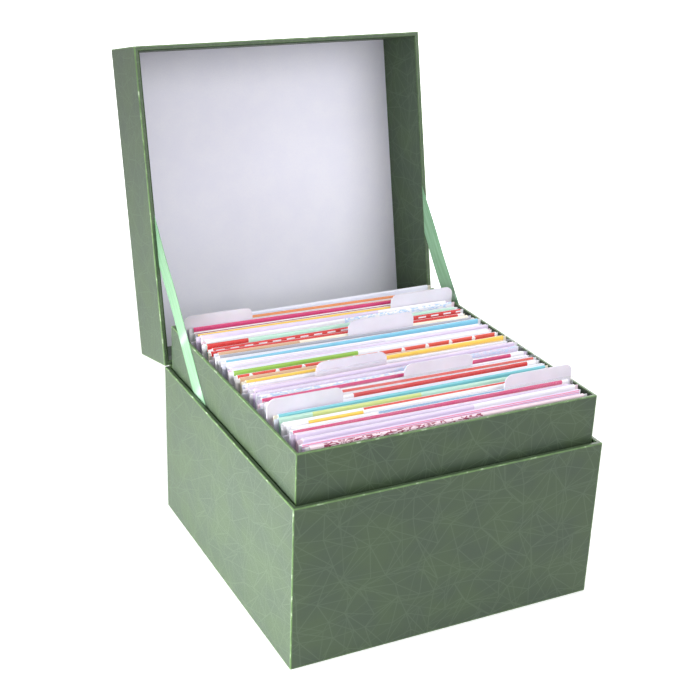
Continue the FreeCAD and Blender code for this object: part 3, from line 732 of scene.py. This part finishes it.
# For each set, rear first: ground, ink, band height in mm, where the band starts and ends
# along the card, and the motif: 0 solid, 1 spots, 2 dashes, 3 thin lines, 4 sprigs.
PRINTS = (
    ("white", "mist", 3.0, 0.0, 1.0, 0), ("white", "orange", 1.4, 0.25, 1.0, 0),
    ("white", "orange", 2.6, 0.0, 0.9, 0), ("blush", "magenta", 2.6, 0.0, 1.0, 0),
    ("white", "maroon", 1.4, 0.0, 0.86, 3), ("cream", "yellow", 3.4, 0.0, 1.0, 0),
    ("white", "lilac", 2.6, 0.0, 0.7, 0), ("white", "pale_blue", 4.0, 0.55, 1.0, 4),
    ("white", "lilac", 2.0, 0.1, 0.8, 3), ("mint", "red", 5.0, 0.0, 0.15, 0),
    ("white", "red", 5.0, 0.0, 1.0, 2), ("white", "red", 3.0, 0.0, 0.97, 0),
    ("cream", "tan", 3.0, 0.0, 0.3, 0), ("white", "grey", 5.0, 0.0, 1.0, 0),
    ("white", "mist", 2.0, 0.0, 1.0, 0), ("white", "sky", 5.0, 0.0, 1.0, 0),
    ("white", "lilac", 2.4, 0.0, 0.6, 3), ("mist", "lilac", 3.0, 0.0, 1.0, 0),
    ("white", "mist", 3.0, 0.0, 1.0, 0), ("white", "lime", 2.8, 0.0, 0.46, 0),
    ("white", "coral", 5.0, 0.0, 1.0, 1), ("cream", "tan", 3.0, 0.0, 1.0, 0),
    ("cream", "yellow", 4.0, 0.0, 1.0, 0), ("white", "mist", 2.0, 0.0, 1.0, 3),
    ("blush", "lilac", 3.0, 0.0, 1.0, 0), ("blush", "lilac", 2.0, 0.0, 1.0, 0),
    ("lilac", "pale_blue", 2.6, 0.5, 1.0, 4), ("white", "pale_blue", 2.6, 0.0, 1.0, 4),
    ("white", "magenta", 2.4, 0.0, 0.94, 0), ("white", "lilac", 2.2, 0.0, 1.0, 3),
    ("white", "coral", 1.2, 0.0, 1.0, 0), ("white", "red", 2.6, 0.3, 0.96, 0),
    ("white", "mist", 2.0, 0.0, 1.0, 0), ("mist", "turquoise", 5.0, 0.0, 1.0, 0),
    ("mint", "leaf", 4.0, 0.12, 0.5, 0), ("white", "coral", 3.0, 0.28, 0.8, 0),
    ("white", "yellow", 5.0, 0.08, 0.26, 0), ("white", "blue", 1.6, 0.3, 0.95, 2),
    ("white", "magenta", 2.2, 0.0, 0.97, 0), ("blush", "lilac", 4.0, 0.0, 1.0, 0),
    ("white", "lilac", 3.0, 0.0, 0.6, 0), ("lilac", "pink", 2.0, 0.0, 1.0, 3),
    ("blush", "maroon", 4.0, 0.05, 0.6, 4),
)

band_print, entry, result = effect_group(
    "band_print",
    [("Vector", "Vector", None), ("Shape", "Vector", None), ("Motif", "Float", 0.0)],
    [("Inked", "Float")],
)


def reckon(operation, *terms):
    """One arithmetic step in the card's print."""
    return maths(band_print, operation, *terms)


def both(one, other):
    """A mask where two masks meet."""
    return reckon("MULTIPLY", one, other)


on_card = put(band_print, "SeparateXYZ", {0: entry.outputs["Vector"]})
shape = put(band_print, "SeparateXYZ", {0: entry.outputs["Shape"]})
across_card, down_card = on_card.outputs[0], reckon("MULTIPLY", on_card.outputs[1], -1.0)
soft_edge = reckon("SUBTRACT", shape.outputs[0], 0.00012)
high_enough = faded(band_print, down_card, soft_edge, shape.outputs[0], 1.0, 0.0)
past_start = reckon("GREATER_THAN", across_card, shape.outputs[1])
before_end = reckon("LESS_THAN", across_card, shape.outputs[2])
on_front = reckon("GREATER_THAN", down_card, 0.0)
band = both(both(high_enough, on_front), both(past_start, before_end))


def motif_share(number, mask):
    """The mask where the card's motif has this number, and nothing elsewhere."""
    return both(reckon("COMPARE", entry.outputs["Motif"], number, 0.4), mask)


def repeat(socket, length):
    """The place within a length that repeats, from 0 to 1."""
    return reckon("FRACT", reckon("DIVIDE", socket, length))


def near_middle(share, half):
    """1 within half of the middle of a repeat."""
    return reckon("LESS_THAN", apart(band_print, share, 0.5), half)


def reach(x, y):
    """How far a point is from the middle of a motif."""
    return reckon("SQRT", reckon("ADD", reckon("MULTIPLY", x, x), reckon("MULTIPLY", y, y)))


spot_x = reckon("SUBTRACT", repeat(across_card, 0.0172), 0.5)
spot_y = reckon("MULTIPLY", reckon("SUBTRACT", repeat(down_card, 0.0062), 0.2), 0.36)
spots_left_out = reckon("GREATER_THAN", reach(spot_x, spot_y), 0.08)
dash = both(near_middle(repeat(across_card, 0.0096), 0.3), near_middle(repeat(down_card, 0.0024), 0.2))
dashes_left_out = reckon("SUBTRACT", 1.0, dash)
thin_lines = near_middle(repeat(down_card, 0.0009), 0.22)
sprig_way = put(band_print, "Mapping", {"Vector": entry.outputs["Vector"], "Scale": (220.0, 900.0, 1.0)})
sprigs = faded(band_print, noise(band_print, sprig_way.outputs[0], 1.0, 1.0, distortion=1.5), 0.5, 0.56)
motifs = motif_share(0.0, 1.0)
for number, mask in ((1.0, spots_left_out), (2.0, dashes_left_out), (3.0, thin_lines), (4.0, sprigs)):
    motifs = reckon("ADD", motifs, motif_share(number, mask))

# The ring has nine petals and three more for each motif number.
RING_ACROSS, RING_DOWN, RING, CIRCLE = 0.0885, 0.069, 0.034, 0.021
FRAME_ACROSS, FRAME_DOWN = 0.079, 0.052
aside = reckon("SUBTRACT", across_card, RING_ACROSS)
below = reckon("SUBTRACT", down_card, RING_DOWN)
from_centre = reach(aside, below)
petal_count = reckon("MULTIPLY_ADD", entry.outputs["Motif"], 3.0, 9.0)
petals = reckon("SINE", reckon("MULTIPLY", reckon("ARCTAN2", below, aside), petal_count))
petal_reach = reckon("MULTIPLY_ADD", petals, 0.0028, 0.0034)
ring = reckon("LESS_THAN", apart(band_print, from_centre, RING), petal_reach)
circle = reckon("LESS_THAN", apart(band_print, from_centre, CIRCLE), 0.0006)
off_frame = reckon(
    "MAXIMUM", reckon("SUBTRACT", reckon("ABSOLUTE", aside), FRAME_ACROSS),
    reckon("SUBTRACT", reckon("ABSOLUTE", below), FRAME_DOWN),
)
frame_line = reckon("LESS_THAN", reckon("ABSOLUTE", off_frame), 0.0005)
front_print = both(on_front, reckon("MAXIMUM", ring, reckon("MAXIMUM", circle, frame_line)))
band_print.links.new(reckon("MAXIMUM", both(band, motifs), front_print), result.inputs["Inked"])

card_paper, tree, shader = finish("card_paper", Specular_IOR_Level=0.45)
flat = put(tree, "UVMap").outputs[0]
inked = effect(
    tree, band_print, {"Vector": flat, "Shape": read(tree, "band", "Vector"), "Motif": read(tree, "motif")}
)
fibre_look = effect(tree, paper_fibre, {"Vector": flat, "Fibre": 0.0006})
printed = mixed(tree, inked["Inked"], read(tree, "ground", "Color"), read(tree, "ink", "Color"))
toned = mixed(tree, maths(tree, "MULTIPLY", fibre_look["Fleck"], 0.06), printed, tint(196, 192, 204))
tree.links.new(toned, shader.inputs["Base Color"])
tree.links.new(faded(tree, fibre_look["Height"], 0.3, 0.7, 0.34, 0.48), shader.inputs["Roughness"])
relief(tree, shader, fibre_look["Height"], 0.00001, 0.5)

chance = random.Random(41)
SETS = []
number = 0
for section, trims in enumerate(SET_TRIMS, start=1):
    for trim in trims:
        number += 1
        SETS.append(
            {
                "number": number,
                "section": section,
                "middle": (3 * number % 5 - 2) * 0.7,
                "front": BAY_REAR - SET_PITCH * number + SET_AIR / 2 - DIVIDER_BAY * (section - 1),
                "wide": CARD_WIDE - number * number % 3 * 2.5,
                "shorter": trim * SET_TRIM,
                "turn": chance.uniform(-0.38, 0.38),
                "bow": chance.uniform(-0.3, 0.3),
                "lean": chance.uniform(-0.3, 0.3),
                "tilt": chance.uniform(0.2, 1.6) * chance.choice((-1, 1)),
                "print": PRINTS[number - 1],
            }
        )


def out_of_line(one, x, z):
    """How far a set's paper stands forward of its place: turned, bowed and leaning a little."""
    high = min(max((z - SEAT) / 130.0, 0.0), 1.0)
    return (one["turn"] * x / 90.0 + one["bow"] * (1 - (x / 90.0) ** 2) + one["lean"]) * high ** 1.5


def lifted(one, x):
    """How far a set's paper is up where one of its low corners doesn't touch the floor."""
    return abs(one["tilt"]) * (0.5 + math.copysign(0.5, one["tilt"]) * x / 92.0)


def placed(one, x, y, z):
    """A point of a set's paper where it stands in the box, in metres."""
    return (x + one["middle"]) * MM, (y - out_of_line(one, x, z)) * MM, (z + lifted(one, x)) * MM


def ink_layers(body):
    """The layers that hold each card's or envelope's colours and its band. All of a mesh's
    layers are made before its first point, because a new one would lose the points."""
    body.loops.layers.uv.verify()
    layers = body.verts.layers
    kinds = {
        "fold": layers.float, "ground": layers.float_color, "ink": layers.float_color,
        "band": layers.float_vector, "motif": layers.float,
    }
    return {name: kind.get(name) or kind.new(name) for name, kind in kinds.items()}


def add_card(body, one):
    """A folded card: two leaves that hang from a rounded fold on the envelope's top edge."""
    ground, ink, band_tall, start, end, motif = one["print"]
    top = SEAT + ENVELOPE_TALL + CARD_LEAF - one["shorter"]
    low = SEAT + ENVELOPE_TALL + CARD_LEAF - CARD_TALL
    half, bend = CARD_THICK / 2, 0.85
    heights = [low + (top - bend - low) * level for level in (0.0, 0.35, 0.65, 0.85, 0.95)]
    outer, inner = [(0.0, z) for z in heights], [(CARD_LEAF, z) for z in heights]
    for n in range(7):
        turn = math.pi * n / 6
        for line, across, rise in ((outer, half, bend), (inner, half - CARD_LEAF, bend - CARD_LEAF)):
            line.append((half - math.cos(turn) * across, top - bend + math.sin(turn) * rise))
    outer += [(CARD_THICK, z) for z in heights[::-1]]
    inner += [(CARD_THICK - CARD_LEAF, z) for z in heights[::-1]]
    fold = len(outer) // 2
    stations = [one["wide"] * (n / 12 - 0.5) for n in range(13)]
    rows, along = [], []
    for n, (deep, z) in enumerate(outer + inner[::-1]):
        rows.append([placed(one, x, one["front"] + deep, z) for x in stations])
        along.append((z - top if n <= fold else top - z if n < len(outer) else 300.0 + z) * MM)
    across = [(x + one["wide"] / 2) * MM for x in stations]
    spots = add_grid(body, rows, across, along + [along[0]], tube=True)
    close_sides(body, spots, len(outer) - 1)
    width = one["wide"] * MM
    band = (band_tall * MM, start * width - 0.001, end * width + 0.001)
    layers = ink_layers(body)
    held = {"ground": PAINTS[ground], "ink": PAINTS[ink], "band": band, "motif": motif}
    for row in spots:
        for spot in row:
            for name, value in held.items():
                spot[layers[name]] = value


def in_section(section, add, name, material):
    """A piece made of all the cards or all the envelopes of one section."""
    body = bmesh.new()
    ink_layers(body)
    for one in SETS:
        if one["section"] == section:
            add(body, one)
    return as_piece(body, name, material, sharp=50.0)


for section in range(1, 9):
    cards = in_section(section, add_card, f"cards_{section}", card_paper)
    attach(cards, f"card_section_{section}")
    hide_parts(f"greeting_cards_{section}")

# Envelopes. A white or tinted envelope stands inside each folded card and shows past its
# ends: a flat pocket of thin paper, thickest in its middle, with a pointed flap at its back.
ENVELOPE_TINTS = (
    "white", "white", "mist", "white", "cream", "white", "lilac", "white", "mist", "white", "blush"
)
THIN_EDGE = 0.22

flap_seams, entry, result = effect_group(
    "flap_seams", [("Vector", "Vector", None)], [("Seam", "Float"), ("Flap", "Float")]
)
on_back = put(flap_seams, "SeparateXYZ", {0: entry.outputs["Vector"]})
aside_middle = apart(flap_seams, on_back.outputs[0], ENVELOPE_WIDE / 2 * MM)
flap_low = maths(flap_seams, "MULTIPLY_ADD", aside_middle, -0.72, 0.066)
under_flap = maths(flap_seams, "SUBTRACT", on_back.outputs[1], flap_low)
at_seam = faded(flap_seams, maths(flap_seams, "ABSOLUTE", under_flap), 0.0002, 0.0006, 1.0, 0.0)
flap_seams.links.new(at_seam, result.inputs["Seam"])
flap_seams.links.new(faded(flap_seams, under_flap, -0.0002, 0.0002, 1.0, 0.0), result.inputs["Flap"])

envelope_paper, tree, shader = finish("envelope_paper", Roughness=0.58, Specular_IOR_Level=0.35)
flat = put(tree, "UVMap").outputs[0]
seams = effect(tree, flap_seams, {"Vector": flat})
fibre_look = effect(tree, paper_fibre, {"Vector": flat, "Fibre": 0.0008})
ground = read(tree, "ground", "Color")
toned = mixed(tree, maths(tree, "MULTIPLY", fibre_look["Fleck"], 0.08), ground, tint(200, 198, 210))
# A grey line along the flap's edge is painted shade under the flap.
flap_shaded = mixed(tree, maths(tree, "MULTIPLY", seams["Seam"], 0.35), toned, tint(176, 174, 188))
tree.links.new(flap_shaded, shader.inputs["Base Color"])
fibre_height = maths(tree, "MULTIPLY", fibre_look["Height"], 0.2)
relief(tree, shader, maths(tree, "MULTIPLY_ADD", seams["Flap"], 0.7, fibre_height), 0.00008)


def add_envelope(body, one):
    """A flat pocket: two skins that meet at thin edges, the back one with the flap."""
    columns, levels = 13, 8
    front_rows, back_rows, lengths = [], [], []
    middle_y = one["front"] + CARD_THICK / 2
    tall = ENVELOPE_TALL - one["shorter"]
    stations = [ENVELOPE_WIDE * (n / (columns - 1) - 0.5) for n in range(columns)]
    for level in range(levels):
        share = level / (levels - 1)
        z = SEAT + tall * share
        for rows, side in ((front_rows, -1), (back_rows, 1)):
            row = []
            for x in stations:
                full = (1 - (abs(x) / (ENVELOPE_WIDE / 2)) ** 6) * (1 - abs(2 * share - 1) ** 8)
                thick = THIN_EDGE + (ENVELOPE_THICK / 2 - THIN_EDGE) * full
                row.append(placed(one, x, middle_y + side * thick, z))
            rows.append(row)
        lengths.append((tall * (1 - share)) * MM)
    across = [(x + ENVELOPE_WIDE / 2) * MM for x in stations]
    rows = front_rows + back_rows[::-1]
    # The front skin's lengths are written below the flap, so that only the back shows it.
    along = [1.0 + length for length in lengths] + lengths[::-1]
    spots = add_grid(body, rows, across, along + [1.0], tube=True)
    close_sides(body, spots, levels - 1)
    ground = ink_layers(body)["ground"]
    for row in spots:
        for spot in row:
            spot[ground] = PAINTS[ENVELOPE_TINTS[one["number"] * 4 % len(ENVELOPE_TINTS)]]


for section in range(1, 9):
    envelopes = in_section(section, add_envelope, f"envelopes_look_{section}", envelope_paper)
    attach(envelopes, f"card_section_{section}")
    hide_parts(f"envelopes_{section}")

# Clear sleeves. Four of the card sets are still in their crystal film bags: welded at both
# sides, folded at the bottom, open at the top, with a soft lip that stands over the card.
SLEEVED_SETS = (26, 29, 32, 40)
SLEEVE_WIDE, SLEEVE_TALL, SLEEVE_SIDE, WELD, LIP_LOW = 186.0, 138.0, 0.2, 1.5, 136.6
sleeve_film, tree, shader = finish(
    "sleeve_film", Roughness=0.12, Specular_IOR_Level=0.6, Coat_Weight=0.4, Coat_Roughness=0.08
)
flat = put(tree, "UVMap").outputs[0]
crinkle = noise(tree, flat, 90.0, 2.0, distortion=0.8)
film = mixed(tree, faded(tree, crinkle, 0.35, 0.65), tint(240, 243, 248), tint(226, 232, 240))
tree.links.new(film, shader.inputs["Base Color"])
# Whiter, more opaque film at the welds and top edge: partly the welds, partly a painted glint on the film's
# edges.
film_with_edge_glint = maths(tree, "MULTIPLY_ADD", read(tree, "fold"), 0.3, faded(tree, crinkle, 0.3, 0.7, 0.02, 0.08))
tree.links.new(film_with_edge_glint, shader.inputs["Alpha"])
relief(tree, shader, crinkle, 0.0004, 0.5)


def add_sleeve(body, one):
    """A film bag: one skin folded at the bottom, welded down both sides, open at the top."""
    low, half = SEAT - 0.1, SLEEVE_WIDE / 2
    stations = [-half, WELD - half, *(n * 14.0 for n in range(-6, 7)), half - WELD, half]
    levels = [0.0, 0.012, 0.15, 0.3, 0.45, 0.6, 0.75, 0.88, 0.95, 0.988, 1.0]
    front = one["front"] - SLEEVE_SIDE
    deep = CARD_THICK + 2 * SLEEVE_SIDE
    rows, folds, along = [], [], []
    for side in (0, 1):
        for share in levels if side else levels[::-1]:
            z = low + SLEEVE_TALL * share
            row, row_folds = [], []
            for x in stations:
                to_edge = abs(x) / half
                closed = max(to_edge ** 14, (1 - share) ** 14)
                lip = max(0.0, (z - LIP_LOW) / 4.5)
                y = front + deep * (side + (0.5 - side) * (closed * 0.94 + (1 - closed) * 0.55 * lip))
                y -= out_of_line(one, x, z) + 0.35 * lip * math.sin(x / 31.0 + one["number"])
                drop = 0.5 * lip * (x / 93.0) ** 2
                row.append(((x + one["middle"]) * MM, y * MM, (z - drop) * MM))
                # Welds and top edge are marked for the whiter film, which is partly painted glint.
                row_folds.append(1.0 if to_edge > 0.99 else 0.8 if share == 1.0 else 0.0)
            rows.append(row)
            folds.append(row_folds)
            along.append((z + side * 150.0) * MM)
    across = [(x + half) * MM for x in stations]
    add_grid(body, rows, across, along, folds)


for section in sorted({one["section"] for one in SETS if one["number"] in SLEEVED_SETS}):
    body = bmesh.new()
    for one in SETS:
        if one["section"] == section and one["number"] in SLEEVED_SETS:
            add_sleeve(body, one)
    sleeves = as_piece(body, f"sleeves_{section}", sleeve_film, sharp=50.0)
    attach(sleeves, f"card_section_{section}")
    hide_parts(f"clear_sleeves_{section}")

# The table and the light. The box stands on a pale matt table in a bright room: a low soft
# light at its left, and broad ones before it, above it and behind its right corner.
floor_mesh = bpy.data.meshes.new("table_top")
floor_body = bmesh.new()
bmesh.ops.create_circle(floor_body, cap_ends=True, segments=96, radius=6.0)
floor_body.to_mesh(floor_mesh)
floor_body.free()
table_top = bpy.data.objects.new("table_top", floor_mesh)
bpy.context.scene.collection.objects.link(table_top)
table_white, tree, shader = finish("table_white", Roughness=0.9, Specular_IOR_Level=0.1)
shader.inputs["Base Color"].default_value = (0.86, 0.86, 0.87, 1.0)
seen = put(tree, "LightPath")
directly = maths(tree, "MAXIMUM", seen.outputs["Is Glossy Ray"], seen.outputs["Is Transmission Ray"])
on_table = put(tree, "TexCoord").outputs["Object"]
off_box = put(tree, "VectorMath", {0: on_table}, operation="LENGTH").outputs["Value"]
to_camera = maths(tree, "MULTIPLY", seen.outputs["Is Camera Ray"], faded(tree, off_box, 0.3, 0.9, 0.32, 1.0))
brightness = maths(tree, "ADD", to_camera, maths(tree, "MULTIPLY", directly, 0.2))
glow = put(tree, "Emission", {"Color": (1.0, 1.0, 1.0, 1.0), "Strength": brightness})
together = put(tree, "AddShader", {0: shader.outputs[0], 1: glow.outputs[0]})
tree.links.new(together.outputs[0], tree.nodes["Material Output"].inputs["Surface"])
floor_mesh.materials.append(table_white)

room = bpy.data.worlds.new("room")
bpy.context.scene.world = room
room.use_nodes = True
tree = room.node_tree
seen = put(tree, "LightPath")
directly = maths(
    tree, "MAXIMUM", seen.outputs["Is Camera Ray"],
    maths(tree, "MAXIMUM", seen.outputs["Is Glossy Ray"], seen.outputs["Is Transmission Ray"]),
)
sky = tree.nodes["Background"].inputs
sky["Color"].default_value = (1.0, 1.0, 1.0, 1.0)
tree.links.new(faded(tree, directly, 0.0, 1.0, 0.44, 1.0), sky["Strength"])


def soft_light(name, spot, aim, size, power, spread=180.0):
    """A square soft light at a spot, turned to its aim."""
    data = bpy.data.lights.new(name, "AREA")
    data.size, data.energy, data.spread = size, power, math.radians(spread)
    lamp = bpy.data.objects.new(name, data)
    lamp.visible_camera = False
    lamp.matrix_world = Matrix.Translation(spot) @ (
        (Vector(aim) - Vector(spot)).to_track_quat("-Z", "Y").to_matrix().to_4x4()
    )
    bpy.context.scene.collection.objects.link(lamp)


soft_light("left_light", (-0.62, -0.05, 0.04), (-0.1, -0.02, -0.06), 0.4, 3.1, 80.0)
soft_light("front_light", (0.85, -1.65, 1.1), (0.0, 0.05, 0.14), 1.5, 19.5)
soft_light("top_light", (0.1, -0.1, 1.9), (0.0, 0.0, 0.1), 1.2, 13.0)
soft_light("rear_light", (1.5, 1.3, 0.7), (0.0, 0.1, 0.14), 1.2, 16.0)
